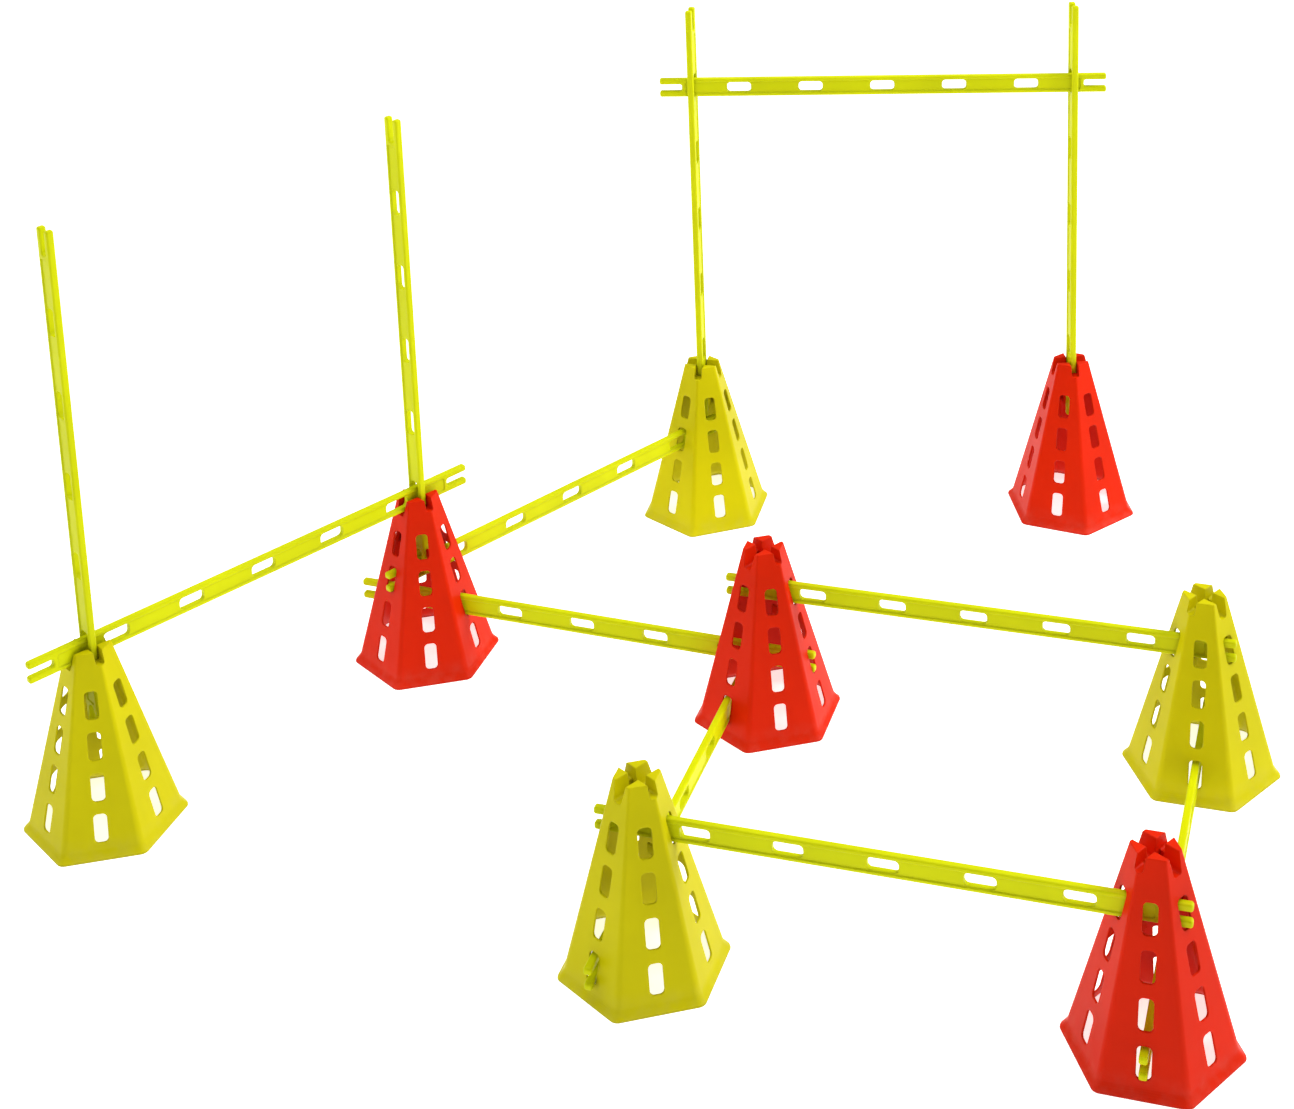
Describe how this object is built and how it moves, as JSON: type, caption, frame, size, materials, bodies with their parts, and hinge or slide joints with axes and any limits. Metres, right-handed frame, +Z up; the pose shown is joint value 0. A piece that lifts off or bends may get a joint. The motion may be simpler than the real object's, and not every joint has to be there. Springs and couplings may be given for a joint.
{
  "type": "agility hurdle set",
  "caption": "Modular dog agility hurdle set: hollow slotted hexagonal cones joined by slotted slats into a square, a low jump and a tall gate.",
  "frame": {"origin": "on the ground, in the middle of the set's bounding box", "axes": "+X along the back of the square, +Y away from the viewer towards the tall gate, +Z up"},
  "size_m": [1.5802, 1.4028, 0.8545],
  "materials": {
    "slat_yellow": "satin moulded, bright lime yellow",
    "cone_yellow": "satin moulded, yellow",
    "cone_red": "satin moulded, orange red"
  },
  "bodies": {
    "root": {"cone_square_back_left": "cone_red", "cone_square_back_right": "cone_yellow", "cone_square_front_left": "cone_yellow", "cone_square_front_right": "cone_red", "cone_jump_inner": "cone_red", "cone_jump_outer": "cone_yellow", "cone_gate_inner": "cone_yellow", "cone_gate_outer": "cone_red"},
    "post_jump_outer": {"post_jump_outer": "slat_yellow"},
    "post_jump_inner": {"post_jump_inner": "slat_yellow"},
    "post_gate_inner": {"post_gate_inner": "slat_yellow"},
    "post_gate_outer": {"post_gate_outer": "slat_yellow"},
    "bar_jump": {"bar_jump": "slat_yellow"},
    "bar_gate": {"bar_gate": "slat_yellow"},
    "bar_link_back": {"bar_link_back": "slat_yellow"},
    "bar_link_side": {"bar_link_side": "slat_yellow"},
    "bar_square_back": {"bar_square_back": "slat_yellow"},
    "bar_square_front": {"bar_square_front": "slat_yellow"},
    "bar_square_left": {"bar_square_left": "slat_yellow"},
    "bar_square_right": {"bar_square_right": "slat_yellow"}
  },
  "joints": [
    {"name": "post_jump_inner_lift", "type": "slide", "parent": "root", "child": "post_jump_inner", "axis": [0, 0, 1], "range_m": [0, 0.13]},
    {"name": "post_jump_outer_lift", "type": "slide", "parent": "root", "child": "post_jump_outer", "axis": [0, 0, 1], "range_m": [0, 0.13]},
    {"name": "bar_jump_slide", "type": "slide", "parent": "post_jump_inner", "child": "bar_jump", "axis": [-0.4772, -0.8788, 0], "range_m": [0, 0.7]},
    {"name": "post_gate_inner_lift", "type": "slide", "parent": "root", "child": "post_gate_inner", "axis": [0, 0, 1], "range_m": [0, 0.13]},
    {"name": "post_gate_outer_lift", "type": "slide", "parent": "root", "child": "post_gate_outer", "axis": [0, 0, 1], "range_m": [0, 0.13]},
    {"name": "bar_gate_slide", "type": "slide", "parent": "post_gate_inner", "child": "bar_gate", "axis": [0.9694, 0.2453, 0], "range_m": [0, 0.7]},
    {"name": "bar_link_back_slide", "type": "slide", "parent": "root", "child": "bar_link_back", "axis": [0.4741, 0.8805, 0], "range_m": [0, 0.7]},
    {"name": "bar_link_side_slide", "type": "slide", "parent": "root", "child": "bar_link_side", "axis": [-0.9993, 0.0384, 0], "range_m": [0, 0.7]},
    {"name": "bar_square_back_slide", "type": "slide", "parent": "root", "child": "bar_square_back", "axis": [1, 0, 0], "range_m": [0, 0.7]},
    {"name": "bar_square_front_slide", "type": "slide", "parent": "root", "child": "bar_square_front", "axis": [1, 0, 0], "range_m": [0, 0.7]},
    {"name": "bar_square_left_slide", "type": "slide", "parent": "root", "child": "bar_square_left", "axis": [0, -1, 0], "range_m": [0, 0.7]},
    {"name": "bar_square_right_slide", "type": "slide", "parent": "root", "child": "bar_square_right", "axis": [0, -1, 0], "range_m": [0, 0.7]}
  ],
  "couplings": [
    {"joint": "post_jump_outer_lift", "follows": "post_jump_inner_lift", "ratio": 1},
    {"joint": "post_gate_outer_lift", "follows": "post_gate_inner_lift", "ratio": 1}
  ]
}
